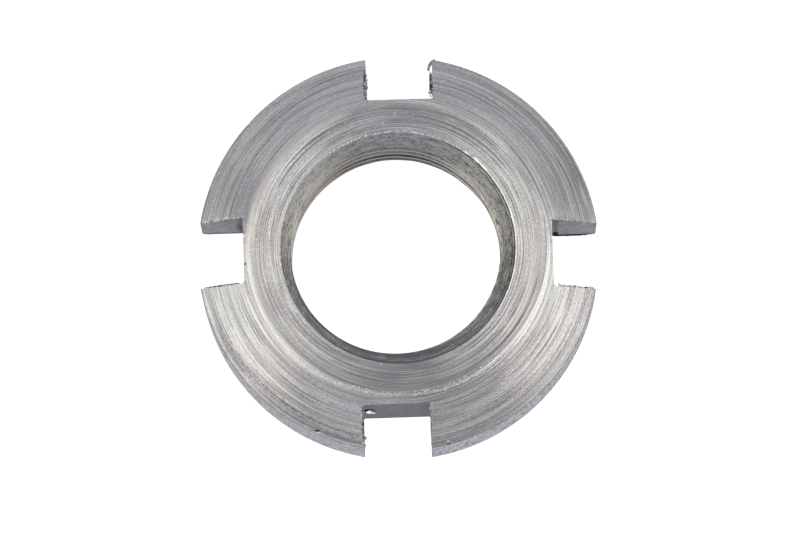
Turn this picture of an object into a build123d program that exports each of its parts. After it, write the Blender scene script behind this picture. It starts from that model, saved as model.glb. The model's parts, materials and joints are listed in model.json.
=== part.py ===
from build123d import *
from math import radians, tan
import os

# Bearing lock nut, turned from bar as one piece. Millimetres and degrees, with +Z along
# the thread. The origin is the middle of the flat back face, and the coned side is up.

# Thread, an ISO metric fine one. The bore is its crest circle: the helix is not cut here.
thread_diameter = 10.0
thread_pitch = 0.75
minor_depth_per_pitch = 1.0825
crest_clearance = 0.19
bore_diameter = thread_diameter - minor_depth_per_pitch * thread_pitch + crest_clearance

# The bore sits this far from the body's axis, so its mouths are wider on one side.
bore_centre_x = -0.12

# Countersunk mouth at each end of the bore
mouth_diameter = 10.5
mouth_half_angle = 45.0

# Body
outer_diameter = 18.0
thickness = 4.0
seat_face_diameter = 13.5
cone_angle = 30.0

# Broken edges: raised seat face to cone, cone to rim, and rim to back face
seat_edge_radius = 0.8
rim_edge_radius = 0.1
back_edge_chamfer = 0.2

# Spanner slots, cut straight through the rim. The cutter ran a little to one side of
# the centre line, and the four cuts share a centre just off the body's axis.
slot_count = 4
slot_width = 3.0
slot_depth = 2.1
slot_side_shift = 0.29
slot_corner_radius = 0.2
slot_centre_y = -0.13

# Length by which a cutting tool runs past the metal
cutter_overrun = 1.0


def rounded_at(profile, corner, radius):
    """Round the corner of the profile that lies at the given point."""
    vertex = profile.vertices().sort_by_distance(corner)[0]
    return fillet(vertex, radius)


def turned_body():
    """Solid of the nut before boring: back face, rim, cone and raised seat face."""
    outer_radius = outer_diameter / 2
    seat_radius = seat_face_diameter / 2
    cone_drop = (outer_radius - seat_radius) * tan(radians(cone_angle))
    rim_top = (outer_radius, 0, thickness - cone_drop)
    seat_edge = (seat_radius, 0, thickness)
    outline = Polyline(
        (0, 0, 0),
        (outer_radius - back_edge_chamfer, 0, 0),
        (outer_radius, 0, back_edge_chamfer),
        rim_top,
        seat_edge,
        (0, 0, thickness),
        close=True,
    )
    profile = make_face(outline)
    profile = rounded_at(profile, rim_top, rim_edge_radius)
    profile = rounded_at(profile, seat_edge, seat_edge_radius)
    return revolve(profile, Axis.Z)


def bore_cutter():
    """Cylinder at the crest of the thread, on the bore's own axis."""
    length = thickness + 2 * cutter_overrun
    cylinder = Cylinder(bore_diameter / 2, length)
    return Pos(bore_centre_x, 0, thickness / 2) * cylinder


def mouth_cutter():
    """Countersink for the top face, centred on the body, with its point down."""
    slope = tan(radians(mouth_half_angle))
    top_radius = mouth_diameter / 2 + cutter_overrun * slope
    height = top_radius / slope
    cone = Cone(0, top_radius, height, align=(Align.CENTER, Align.CENTER, Align.MAX))
    return Pos(0, 0, thickness + cutter_overrun) * cone


def slot_cutter():
    """Straight cutter for the slot on the +X side, with rounded inner corners."""
    floor_x = outer_diameter / 2 - slot_depth
    run = slot_depth + cutter_overrun
    plan = Pos(floor_x + run / 2, -slot_side_shift) * Rectangle(run, slot_width)
    inner_corners = plan.vertices().group_by(Axis.X)[0]
    plan = fillet(inner_corners, slot_corner_radius)
    return Pos(0, 0, -cutter_overrun) * extrude(plan, thickness + 2 * cutter_overrun)


def lock_nut():
    """The finished nut as one solid."""
    top_mouth = mouth_cutter()
    back_mouth = Pos(0, 0, thickness) * Rot(180, 0, 0) * top_mouth
    nut = turned_body() - bore_cutter() - top_mouth - back_mouth
    for number in range(slot_count):
        turn = Rot(0, 0, number * 360 / slot_count)
        nut -= Pos(0, slot_centre_y, 0) * turn * slot_cutter()
    return nut


nodes = {"lock_nut": lock_nut()}

os.makedirs("parts", exist_ok=True)
for name, shape in nodes.items():
    export_step(shape, f"parts/{name}.step")
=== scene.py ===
"""Bearing lock nut: the looks of a round nut turned from steel bar, with four spanner slots.

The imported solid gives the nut's place and main sizes. This script builds the same form as
one fine closed mesh with its helical thread, tool marks, burrs and nicks, and dresses it.
"""

import json
import logging
import math
from dataclasses import dataclass, field
from enum import Enum, IntEnum

import bmesh
import bpy
import numpy as np
from mathutils import Matrix, Vector


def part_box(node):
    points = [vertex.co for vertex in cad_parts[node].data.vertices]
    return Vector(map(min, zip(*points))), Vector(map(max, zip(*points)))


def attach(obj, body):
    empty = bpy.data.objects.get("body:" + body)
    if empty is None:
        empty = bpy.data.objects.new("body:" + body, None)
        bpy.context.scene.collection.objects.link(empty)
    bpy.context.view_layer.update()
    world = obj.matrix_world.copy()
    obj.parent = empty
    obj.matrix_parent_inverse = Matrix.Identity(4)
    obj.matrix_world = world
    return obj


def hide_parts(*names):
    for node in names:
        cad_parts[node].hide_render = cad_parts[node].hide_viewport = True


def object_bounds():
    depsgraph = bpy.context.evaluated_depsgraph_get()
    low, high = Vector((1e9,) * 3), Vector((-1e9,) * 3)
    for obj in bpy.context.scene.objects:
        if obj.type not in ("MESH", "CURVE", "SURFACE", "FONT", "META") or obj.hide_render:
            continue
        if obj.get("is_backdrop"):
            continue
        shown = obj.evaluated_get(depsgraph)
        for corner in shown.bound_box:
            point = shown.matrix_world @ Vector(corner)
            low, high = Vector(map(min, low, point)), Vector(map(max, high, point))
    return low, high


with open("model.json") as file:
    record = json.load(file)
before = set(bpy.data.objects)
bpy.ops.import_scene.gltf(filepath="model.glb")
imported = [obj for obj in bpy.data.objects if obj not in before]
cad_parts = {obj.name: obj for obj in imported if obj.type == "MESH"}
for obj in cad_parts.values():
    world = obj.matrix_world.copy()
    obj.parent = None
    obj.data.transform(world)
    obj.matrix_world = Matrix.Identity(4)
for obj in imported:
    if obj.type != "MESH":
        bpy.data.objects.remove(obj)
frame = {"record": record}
cad_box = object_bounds()

log = logging.getLogger("lock_nut")

MM = 0.001
NODE = "lock_nut"
BODY = "root"

Colour = tuple[float, float, float]
Point = tuple[float, float, float]
Sector = tuple[float, float, float]
Band = tuple[float, float, float]
Span = tuple[float, float]
Pair = tuple[float, float]
Form = tuple[np.ndarray, list]
Socket = bpy.types.NodeSocket

SHARP_ANGLE = math.radians(24)
QUARTER_TURN = 0.25
MIX_COLOUR_INPUTS = (6, 7)
MIX_COLOUR_OUTPUT = 2

HASH_PRIMES = (73856093, 19349663, 83492791)
SEED_PRIME = 7919
HASH_MIXER = 1274126177
HASH_SHIFTS = (13, 16)
WORD = 0xFFFFFFFF
HALF_WORD = 0xFFFF


def thread_mount() -> dict:
    """Return the record's threaded hole, which holds the bore's place and wall radius."""
    mounts = frame["record"]["mounts"]
    return next(mount for mount in mounts if mount["name"] == "thread")


class Zone(IntEnum):
    """Parts of the nut's skin that different tools cut, as material indices."""

    TURNED = 0
    SLOT = 1
    BORE = 2
    RIM = 3


class Side(Enum):
    """The two side walls of a spanner slot, as seen looking out of it."""

    RIGHT = -1
    LEFT = 1


@dataclass(frozen=True)
class NutSizes:
    """Sizes of the nut's solid, in metres and radians."""

    thickness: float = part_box(NODE)[1][2]
    bore_radius: float = thread_mount()["dims"]["r_mm"] * MM
    bore_centre_x: float = thread_mount()["pos_m"][0]
    mouth_radius: float = 5.25 * MM
    mouth_half_angle: float = math.radians(45)
    thread_root_radius: float = 5.02 * MM
    thread_pitch: float = 0.75 * MM
    outer_radius: float = 9.0 * MM
    seat_radius: float = 6.75 * MM
    cone_angle: float = math.radians(30)
    seat_edge_radius: float = 0.8 * MM
    rim_edge_radius: float = 0.1 * MM
    back_edge_chamfer: float = 0.2 * MM
    slot_count: int = 4
    slot_width: float = 3.0 * MM
    slot_depth: float = 2.1 * MM
    slot_side_shift: float = 0.29 * MM
    slot_corner_radii: tuple[float, ...] = (0.12 * MM, 0.16 * MM, 0.12 * MM, 0.07 * MM)
    slot_centre_y: float = -0.13 * MM


def lattice_noise(points: np.ndarray, seed: int) -> np.ndarray:
    """Smooth seeded value noise.

    Args:
        points: Array of shape (n, 3), with one lattice cell to each unit.
        seed: Whole number that picks the pattern.

    Returns:
        Array of n values from -1 to 1.
    """
    cell = np.floor(points).astype(np.int64)
    part = points - cell
    ease = part * part * (3 - 2 * part)
    total = np.zeros(len(points))
    first_shift, last_shift = HASH_SHIFTS
    for corner in np.ndindex(2, 2, 2):
        at = (cell + np.array(corner)) * HASH_PRIMES
        key = (at[:, 0] ^ at[:, 1] ^ at[:, 2] ^ seed * SEED_PRIME) & WORD
        key = (key ^ (key >> first_shift)) * HASH_MIXER & WORD
        value = ((key ^ (key >> last_shift)) & HALF_WORD) / (HALF_WORD // 2) - 1
        total += value * np.where(corner, ease, 1 - ease).prod(axis=1)
    return total


@dataclass(frozen=True)
class TurnedProfile:
    """The half section that the lathe cut: seat face, cone, rim and back face."""

    sizes: NutSizes

    def top_height(self, radius: np.ndarray) -> np.ndarray:
        """Height of the seat face, its soft edge and the cone.

        Args:
            radius: Distances from the nut's axis, inside the rim's broken edge.

        Returns:
            The heights above the back face.
        """
        s = self.sizes
        run = s.seat_edge_radius * math.tan(s.cone_angle / 2)
        start = s.seat_radius - run
        end = s.seat_radius + run * math.cos(s.cone_angle)
        cone = s.thickness - (radius - s.seat_radius) * math.tan(s.cone_angle)
        reach = np.clip(radius - start, 0, s.seat_edge_radius)
        soft = s.thickness - s.seat_edge_radius + np.sqrt(s.seat_edge_radius**2 - reach**2)
        return np.where(radius < start, s.thickness, np.where(radius < end, soft, cone))

    def rim_path(self, edge_steps: int, wall_steps: int) -> np.ndarray:
        """Points down the rim, from the cone's end to the back face.

        Args:
            edge_steps: Steps round the broken edge at the top.
            wall_steps: Steps down the rim wall.

        Returns:
            Array of (radius, height) rows.
        """
        s = self.sizes
        middle = s.outer_radius - s.rim_edge_radius
        line = s.thickness - (middle - s.seat_radius) * math.tan(s.cone_angle)
        centre = line - s.rim_edge_radius / math.cos(s.cone_angle)
        turns = np.linspace(math.pi / 2 - s.cone_angle, 0, edge_steps + 1)
        radii = middle + s.rim_edge_radius * np.cos(turns)
        heights = centre + s.rim_edge_radius * np.sin(turns)
        edge = np.column_stack([radii, heights])
        down = np.linspace(centre, s.back_edge_chamfer, wall_steps + 1)[1:]
        wall = np.column_stack([np.full(wall_steps, s.outer_radius), down])
        foot = np.array([[s.outer_radius - s.back_edge_chamfer, 0.0]])
        return np.vstack([edge, wall, foot])


@dataclass(frozen=True)
class SlotPlan:
    """Plan view of the spanner slots, which share a centre beside the nut's axis."""

    sizes: NutSizes

    def turn_angle(self, turn: int) -> float:
        """Angle of a slot's own x axis."""
        return turn * 2 * math.pi / self.sizes.slot_count

    def wall_offset(self, side: Side) -> float:
        """Distance of a side wall from the slot's radial line, anticlockwise."""
        return side.value * self.sizes.slot_width / 2 - self.sizes.slot_side_shift

    def floor_distance(self) -> float:
        """Distance of a slot's floor from the centre that the slots share."""
        return self.sizes.outer_radius - self.sizes.slot_depth

    def place(self, turn: int, local: np.ndarray) -> np.ndarray:
        """Turn points of a slot's own frame into plan points of the nut.

        Args:
            turn: Number of the slot, anticlockwise from the +X side.
            local: Array of (outward, anticlockwise) rows.

        Returns:
            Array of (x, y) rows.
        """
        angle = self.turn_angle(turn)
        cos, sin = math.cos(angle), math.sin(angle)
        turned = local @ np.array([[cos, sin], [-sin, cos]])
        return turned + np.array([0.0, self.sizes.slot_centre_y])

    def to_local(self, turn: int, plan: np.ndarray) -> np.ndarray:
        """Turn plan points of the nut into a slot's own frame, the reverse of place.

        Args:
            turn: Number of the slot, anticlockwise from the +X side.
            plan: Array of (x, y) rows.

        Returns:
            Array of (outward, anticlockwise) rows.
        """
        angle = self.turn_angle(turn)
        cos, sin = math.cos(angle), math.sin(angle)
        middle = np.array([0.0, self.sizes.slot_centre_y])
        return (plan - middle) @ np.array([[cos, -sin], [sin, cos]])

    def wall_angle(self, turn: int, side: Side, radius: np.ndarray) -> np.ndarray:
        """Find where a slot's side wall crosses circles about the nut's axis.

        Args:
            turn: Number of the slot, anticlockwise from the +X side.
            side: The wall.
            radius: The circles' radii.

        Returns:
            The angles, as an array of the same shape.
        """
        angle = self.turn_angle(turn)
        offset = self.wall_offset(side) + self.sizes.slot_centre_y * math.cos(angle)
        return angle + np.arcsin(offset / radius)

    def wall_start(self, turn: int, side: Side) -> float:
        """Find the inner end of a slot's straight side wall.

        Args:
            turn: Number of the slot, anticlockwise from the +X side.
            side: The wall.

        Returns:
            Its distance from the nut's axis.
        """
        start = self.floor_distance() + self.sizes.slot_corner_radii[turn]
        local = np.array([[start, self.wall_offset(side)]])
        return float(np.linalg.norm(self.place(turn, local)))

    def floor_outline(self, turn: int, corner_steps: int, floor_steps: int) -> np.ndarray:
        """Trace the inner end of a slot, from its right wall to its left one.

        Args:
            turn: Number of the slot, anticlockwise from the +X side.
            corner_steps: Steps round each corner.
            floor_steps: Steps along the floor.

        Returns:
            Array of (x, y) rows.
        """
        radius = self.sizes.slot_corner_radii[turn]
        x = self.floor_distance() + radius
        right = self.wall_offset(Side.RIGHT) + radius
        left = self.wall_offset(Side.LEFT) - radius
        sweep = np.linspace(0, math.pi / 2, corner_steps + 1)
        first = np.column_stack([x - radius * np.sin(sweep), right - radius * np.cos(sweep)])
        along = np.linspace(right, left, floor_steps + 1)[1:-1]
        floor = np.column_stack([np.full(len(along), x - radius), along])
        last = np.column_stack([x - radius * np.cos(sweep), left + radius * np.sin(sweep)])
        return self.place(turn, np.vstack([first, floor, last]))

    def depth_in_metal(self, turn: int, plan: np.ndarray) -> np.ndarray:
        """Measure how far plan points are from a slot's outline.

        Args:
            turn: Number of the slot, anticlockwise from the +X side.
            plan: Array of (x, y) rows.

        Returns:
            The distances, positive in the metal.
        """
        s = self.sizes
        local = self.to_local(turn, plan)
        radius = s.slot_corner_radii[turn]
        across = np.abs(local[:, 1] + s.slot_side_shift) - s.slot_width / 2 + radius
        inward = self.floor_distance() + radius - local[:, 0]
        outside = np.hypot(np.maximum(across, 0), np.maximum(inward, 0))
        return outside + np.minimum(np.maximum(across, inward), 0) - radius


@dataclass(frozen=True)
class BoreThread:
    """The right-hand thread in the bore, with a countersunk mouth at each end."""

    sizes: NutSizes
    flank_angle: float = math.radians(30)
    crest_share: float = 0.40
    start_share: float = 0.29
    row_steps: tuple[int, int, int, int] = (4, 2, 2, 2)

    def corners(self) -> list[float]:
        """Place the corners of the thread's profile.

        Returns:
            Shares of the pitch where the crest, the first flank, the root and the second
            flank start, and where the next crest does.
        """
        s = self.sizes
        flank = (s.thread_root_radius - s.bore_radius) * math.tan(self.flank_angle) / s.thread_pitch
        return [0.0, self.crest_share, self.crest_share + flank, 1 - flank, 1.0]

    def wall_radius(self, phase: np.ndarray) -> np.ndarray:
        """Radius of the thread at a share of the pitch, from one crest to the next."""
        crest, root = self.sizes.bore_radius, self.sizes.thread_root_radius
        return np.interp(phase % 1, self.corners(), [crest, crest, root, root, crest])

    def phases(self) -> np.ndarray:
        """Place the mesh's rows within one pitch.

        Returns:
            Shares of the pitch, with the thread's corners among them.
        """
        corners = self.corners()
        spans = zip(corners, corners[1:], self.row_steps)
        return np.concatenate([np.linspace(*span, endpoint=False) for span in spans])

    def surface(self, mouth_edge: np.ndarray) -> np.ndarray:
        """Grid of points from the back mouth to the top one, in rows that follow the helix.

        Args:
            mouth_edge: Plan points round the top mouth's edge, anticlockwise.

        Returns:
            Array of shape (rows, columns, 3). The last column is the first one again, a
            turn later, so its rows are one pitch higher.
        """
        s = self.sizes
        ring = np.vstack([mouth_edge, mouth_edge[:1]]) - np.array([s.bore_centre_x, 0.0])
        angle = np.unwrap(np.arctan2(ring[:, 1], ring[:, 0]))
        turns = (angle - angle[0]) / (2 * math.pi)
        pitches = math.ceil(s.thickness / s.thread_pitch) + 1
        phases = self.phases()
        rows = np.concatenate([phases + number for number in range(-2, pitches)])
        height = (rows[:, None] + turns[None, :] + self.start_share) * s.thread_pitch
        radius = np.broadcast_to(self.wall_radius(rows)[:, None], height.shape)
        height = np.clip(height, 0, s.thickness)
        end_gap = np.minimum(height, s.thickness - height)
        mouth = s.mouth_radius - end_gap / math.tan(s.mouth_half_angle)
        cos, sin = np.cos(angle)[None, :], np.sin(angle)[None, :]
        shift = s.bore_centre_x
        cone = -shift * cos + np.sqrt(np.maximum(mouth**2 - (shift * sin) ** 2, 0))
        radius = np.maximum(radius, cone)
        return np.stack([shift + radius * cos, radius * sin, height], axis=-1)


class Skin:
    """Collects grids of points and joins them into one closed mesh."""

    def __init__(self) -> None:
        """Start with no points."""
        self.points: list[np.ndarray] = []
        self.faces: list[np.ndarray] = []
        self.zones: list[np.ndarray] = []
        self.count = 0

    def add(self, grid: np.ndarray, zone: Zone) -> None:
        """Add a grid of quads.

        Args:
            grid: Array of shape (rows, columns, 3).
            zone: The tool that cut this surface.
        """
        rows, columns, _ = grid.shape
        number = np.arange(rows * columns).reshape(rows, columns) + self.count
        corners = [number[:-1, :-1], number[:-1, 1:], number[1:, 1:], number[1:, :-1]]
        quads = np.stack([corner.ravel() for corner in corners], axis=-1)
        self.points.append(grid.reshape(-1, 3))
        self.faces.append(quads)
        self.zones.append(np.full(len(quads), int(zone)))
        self.count += rows * columns

    def build(self, name: str, weld: float) -> bpy.types.Mesh:
        """Weld the grids along their shared edges.

        Args:
            name: Name of the new mesh.
            weld: Distance under which points become one.

        Returns:
            The mesh, with outward normals and its zones as material indices.
        """
        mesh = bpy.data.meshes.new(name)
        mesh.from_pydata(np.vstack(self.points).tolist(), [], np.vstack(self.faces).tolist())
        mesh.polygons.foreach_set("material_index", np.concatenate(self.zones).astype(np.int32))
        work = bmesh.new()
        work.from_mesh(mesh)
        bmesh.ops.remove_doubles(work, verts=work.verts, dist=weld)
        bmesh.ops.dissolve_degenerate(work, edges=work.edges, dist=weld)
        bmesh.ops.recalc_face_normals(work, faces=work.faces)
        open_edges = sum(1 for edge in work.edges if not edge.is_manifold)
        work.to_mesh(mesh)
        work.free()
        log.info("%s: %d faces, %d open edges", name, len(mesh.polygons), open_edges)
        return mesh


def read_points(mesh: bpy.types.Mesh) -> np.ndarray:
    """Read the places of a mesh's vertices.

    Args:
        mesh: The mesh.

    Returns:
        Array of (x, y, z) rows.
    """
    points = np.empty(len(mesh.vertices) * 3)
    mesh.vertices.foreach_get("co", points)
    return points.reshape(-1, 3)


def write_points(mesh: bpy.types.Mesh, points: np.ndarray) -> None:
    """Move a mesh's vertices to the rows of an array."""
    mesh.vertices.foreach_set("co", points.ravel())
    mesh.update()


@dataclass(frozen=True)
class ToolRings:
    """Shallow rings that the lathe tool left on the turned faces."""

    spacing: float = 0.15 * MM
    height: float = 0.0022 * MM
    reach: float = 1.3
    broad_height: float = 0.6
    broad_reach: float = 2.5
    broad_spacing: float = 3
    above: float = 0.5 * MM
    seed: int = 11

    def raise_on(self, mesh: bpy.types.Mesh) -> None:
        """Raise and sink the vertices of the turned faces.

        Args:
            mesh: The nut's mesh, changed in place.
        """
        points = read_points(mesh)
        normals = np.empty(len(points) * 3)
        mesh.vertices.foreach_get("normal", normals)
        zones = np.empty(len(mesh.polygons), dtype=np.int32)
        mesh.polygons.foreach_get("material_index", zones)
        turned = np.ones(len(points))
        for face in mesh.polygons:
            if zones[face.index] != Zone.TURNED:
                turned[list(face.vertices)] = 0
        turned[points[:, 2] < self.above] = 0
        radius = np.linalg.norm(points[:, :2], axis=1)
        around = points[:, :2] / radius[:, None] * self.reach
        along = (radius - points[:, 2]) / self.spacing
        wave = lattice_noise(np.column_stack([around, along]), self.seed)
        broad = np.column_stack([around * self.broad_reach, along / self.broad_spacing])
        wave += self.broad_height * lattice_noise(broad, self.seed + 1)
        lift = (wave * turned * self.height)[:, None] * normals.reshape(-1, 3)
        write_points(mesh, points + lift)


def reaches_apart(point: Vector, place: Vector, reach: Vector) -> float:
    """Distance of a point from a place, counted in reaches along each axis."""
    return Vector((point[axis] - place[axis]) / reach[axis] for axis in range(3)).length


@dataclass(frozen=True)
class Dent:
    """A pit or nick pressed into the nut, in millimetres."""

    place: Point
    way: Point
    reach: Point
    depth: float
    steep: int = 2
    cuts: int = 3
    margin: float = 1.6

    def press(self, mesh: bpy.types.Mesh) -> None:
        """Refine the mesh round the dent and push it in.

        Args:
            mesh: The nut's mesh, changed in place.
        """
        ball = Vector(self.place) * MM, Vector(self.reach) * MM
        work = bmesh.new()
        work.from_mesh(mesh)
        near = set()
        for face in work.faces:
            if reaches_apart(face.calc_center_median(), *ball) < self.margin:
                near.update(face.edges)
        bmesh.ops.subdivide_edges(work, edges=list(near), cuts=self.cuts, use_grid_fill=True)
        push = Vector(self.way).normalized() * self.depth * MM
        for vertex in work.verts:
            apart = reaches_apart(vertex.co, *ball)
            if apart < 1:
                vertex.co += push * (1 - apart**self.steep) ** 2
        work.to_mesh(mesh)
        work.free()


def nut_dents() -> tuple[Dent, ...]:
    """List the pits and nicks of the nut.

    Returns:
        The dents, each where the photograph has it.
    """
    return (
        Dent((-1.525, -7.03, 1.98), (0, 1, 0), (0.30, 0.3, 0.60), 0.10, 4, 5),
        Dent((6.89, -5.79, 0.75), (-0.77, 0.64, 0), (0.1, 0.1, 0.2), 0.05),
        Dent((-5.90, -6.79, 0.97), (0.66, 0.75, 0), (0.12, 0.1, 0.3), 0.04),
        Dent((-5.45, -7.16, 0.75), (0.6, 0.8, 0), (0.1, 0.1, 0.25), 0.03),
        Dent((-3.88, -7.97, 2.78), (0, 0, -1), (0.22, 0.1, 0.2), 0.06),
        Dent((1.94, -8.74, 2.72), (0, 0.5, -1), (0.09, 0.12, 0.15), 0.08),
        Dent((-6.55, 6.14, 2.70), (0.7, -0.7, -0.4), (0.14, 0.14, 0.2), 0.05),
        Dent((3.27, 4.24, 3.97), (-0.2, -0.3, -1), (0.07, 0.07, 0.1), 0.07),
        Dent((3.83, 3.70, 3.97), (-0.3, -0.3, -1), (0.07, 0.07, 0.1), 0.07),
    )


def in_plan(radius: np.ndarray, angle: np.ndarray, height: np.ndarray) -> np.ndarray:
    """Stack polar arrays of the same shape into points."""
    return np.stack([radius * np.cos(angle), radius * np.sin(angle), height], axis=-1)


def patch(top: np.ndarray, bottom: np.ndarray, start: np.ndarray, end: np.ndarray) -> np.ndarray:
    """Fill four curves with a grid of points.

    Args:
        top: Points along the first row.
        bottom: Points along the last row.
        start: Points down the first column.
        end: Points down the last column.

    Returns:
        Array of shape (rows, columns, 3).
    """
    across = np.linspace(0, 1, len(top))[None, :, None]
    down = np.linspace(0, 1, len(start))[:, None, None]
    rows = (1 - down) * top[None] + down * bottom[None]
    columns = (1 - across) * start[:, None] + across * end[:, None]
    high = (1 - across) * top[0] + across * top[-1]
    low = (1 - across) * bottom[0] + across * bottom[-1]
    return rows + columns - ((1 - down) * high + down * low)


@dataclass
class NutBody:
    """The nut itself, as one closed mesh from the bore to the rim."""

    sizes: NutSizes
    lug_columns: int = 80
    corner_steps: int = 5
    floor_steps: int = 34
    face_rows: int = 17
    shoulder_rows: int = 14
    cone_rows: int = 26
    edge_steps: int = 4
    wall_steps: int = 20
    back_rows: int = 8
    ring_radius: float = 6.4 * MM
    weld: float = 0.0005 * MM
    tear_size: float = 0.022 * MM
    tear_reach: float = 0.07 * MM
    tear_length: float = 0.11 * MM
    side_seed: int = 40
    lift_seed: int = 50
    column_mix: Pair = (0.45, 0.55)
    smooth_reach: int = 3
    rings: ToolRings = field(default_factory=ToolRings)
    dents: tuple[Dent, ...] = field(default_factory=nut_dents)
    profile: TurnedProfile = field(init=False)
    slots: SlotPlan = field(init=False)

    def __post_init__(self) -> None:
        """Make the profile and the slot plan from the same sizes."""
        self.profile = TurnedProfile(self.sizes)
        self.slots = SlotPlan(self.sizes)

    def lug_shares(self) -> np.ndarray:
        """Place the columns of a lug, closer together at the slots.

        Returns:
            Shares of the lug's width, from 0 to 1.
        """
        even = np.linspace(0, 1, self.lug_columns + 1)
        crowded = (1 - np.cos(math.pi * even)) / 2
        return self.column_mix[0] * even + self.column_mix[1] * crowded

    def lug_angles(self, turn: int, radius: np.ndarray) -> np.ndarray:
        """Angles of a lug's columns on circles about the nut's axis.

        Args:
            turn: Number of the slot before the lug.
            radius: Array of shape (rows, columns).

        Returns:
            Array of the same shape.
        """
        share = self.lug_shares()[None, :]
        first = self.slots.wall_angle(turn, Side.LEFT, radius)
        last = self.slots.wall_angle(turn + 1, Side.RIGHT, radius)
        return first + (last - first) * share

    def lug_roots(self, turn: int) -> np.ndarray:
        """Find where a lug's columns start.

        Args:
            turn: Number of the slot before the lug.

        Returns:
            Their distances from the nut's axis.
        """
        first = self.slots.wall_start(turn, Side.LEFT)
        last = self.slots.wall_start((turn + 1) % self.sizes.slot_count, Side.RIGHT)
        return first + (last - first) * self.lug_shares()

    def contour(self) -> np.ndarray:
        """Trace the slot floors and the lug roots, anticlockwise round the nut.

        Returns:
            Array of (x, y) rows.
        """
        runs = []
        for turn in range(self.sizes.slot_count):
            runs.append(self.slots.floor_outline(turn, self.corner_steps, self.floor_steps))
            radius = self.lug_roots(turn)[None, :]
            angle = self.lug_angles(turn, radius)
            root = in_plan(radius, angle, np.zeros_like(radius))[0, 1:-1, :2]
            runs.append(root)
        return np.vstack(runs)

    def ring_angles(self, contour: np.ndarray) -> np.ndarray:
        """Place the columns inside the contour, evened out so that none cross.

        Args:
            contour: Array of (x, y) rows.

        Returns:
            The columns' angles about the nut's axis.
        """
        angle = np.unwrap(np.arctan2(contour[:, 1], contour[:, 0]))
        reach, full_turn = self.smooth_reach, 2 * math.pi
        around = np.concatenate([angle[-reach:] - full_turn, angle, angle[:reach] + full_turn])
        window = np.ones(2 * reach + 1) / (2 * reach + 1)
        return np.convolve(around, window, mode="valid")

    def face_sheet(self, contour: np.ndarray, face_rows: int, shoulder_rows: int) -> np.ndarray:
        """Plan points of a face, from the bore's mouth out to the contour.

        Args:
            contour: Plan points where the sheet ends.
            face_rows: Rows of circles.
            shoulder_rows: Rows from the last circle to the contour.

        Returns:
            Array of shape (rows, columns + 1, 2), closed round the axis.
        """
        angle = self.ring_angles(contour)
        around = np.column_stack([np.cos(angle), np.sin(angle)])
        radii = np.linspace(self.sizes.mouth_radius, self.ring_radius, face_rows + 1)
        circles = radii[:, None, None] * around[None]
        share = np.linspace(0, 1, shoulder_rows + 1)[1:, None, None]
        outer = circles[-1] * (1 - share) + contour[None] * share
        sheet = np.concatenate([circles, outer])
        return np.concatenate([sheet, sheet[:, :1]], axis=1)

    def with_top(self, plan: np.ndarray) -> np.ndarray:
        """Lift plan points to the seat face and the cone."""
        height = self.profile.top_height(np.linalg.norm(plan, axis=-1))
        return np.concatenate([plan, height[..., None]], axis=-1)

    def add_faces(self, skin: Skin, contour: np.ndarray) -> None:
        """Add the seat face and the back face between the bore and the contour.

        Args:
            skin: Where the grids go.
            contour: Plan points where the two faces end.
        """
        seat = self.face_sheet(contour, self.face_rows, self.shoulder_rows)
        skin.add(self.with_top(seat), Zone.TURNED)
        back = self.face_sheet(contour, self.back_rows, self.back_rows)
        skin.add(np.concatenate([back, np.zeros(back.shape[:-1] + (1,))], axis=-1), Zone.TURNED)

    def add_lug(self, skin: Skin, turn: int, drops: np.ndarray) -> None:
        """Add a lug's cone, rim and back face, and the slot walls at its two ends.

        Args:
            skin: Where the grids go.
            turn: Number of the slot before the lug.
            drops: Shares of a wall's height at its rows, from the top.
        """
        path = self.profile.rim_path(self.edge_steps, self.wall_steps)
        roots = self.lug_roots(turn)[None, :]
        share = np.linspace(0, 1, self.cone_rows + 1)[:, None]
        top_radius = roots + (path[0, 0] - roots) * share
        back_radius = roots + (path[-1, 0] - roots) * share
        top_height = self.profile.top_height(top_radius)
        top = in_plan(top_radius, self.lug_angles(turn, top_radius), top_height)
        back = in_plan(back_radius, self.lug_angles(turn, back_radius), np.zeros_like(back_radius))
        rim_radius = np.repeat(path[:, :1], self.lug_columns + 1, axis=1)
        rim_height = np.repeat(path[:, 1:], self.lug_columns + 1, axis=1)
        rim = in_plan(rim_radius, self.lug_angles(turn, rim_radius), rim_height)
        for grid, zone in ((top, Zone.TURNED), (rim, Zone.RIM), (back, Zone.TURNED)):
            skin.add(grid, zone)
        for end in (0, -1):
            foot = top[0, end] * np.array([1, 1, 0])
            inner = top[0, end] + (foot - top[0, end]) * drops[:, None]
            skin.add(patch(top[:, end], back[:, end], inner, rim[:, end]), Zone.SLOT)

    def add_floor(self, skin: Skin, turn: int, drops: np.ndarray) -> None:
        """Add the floor of a slot, with its round corners.

        Args:
            skin: Where the grid goes.
            turn: Number of the slot.
            drops: Shares of the floor's height at its rows, from the top.
        """
        outline = self.slots.floor_outline(turn, self.corner_steps, self.floor_steps)
        top = self.with_top(outline)
        foot = top * np.array([1, 1, 0])
        skin.add(top[None] + (foot - top)[None] * drops[:, None, None], Zone.SLOT)

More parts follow.
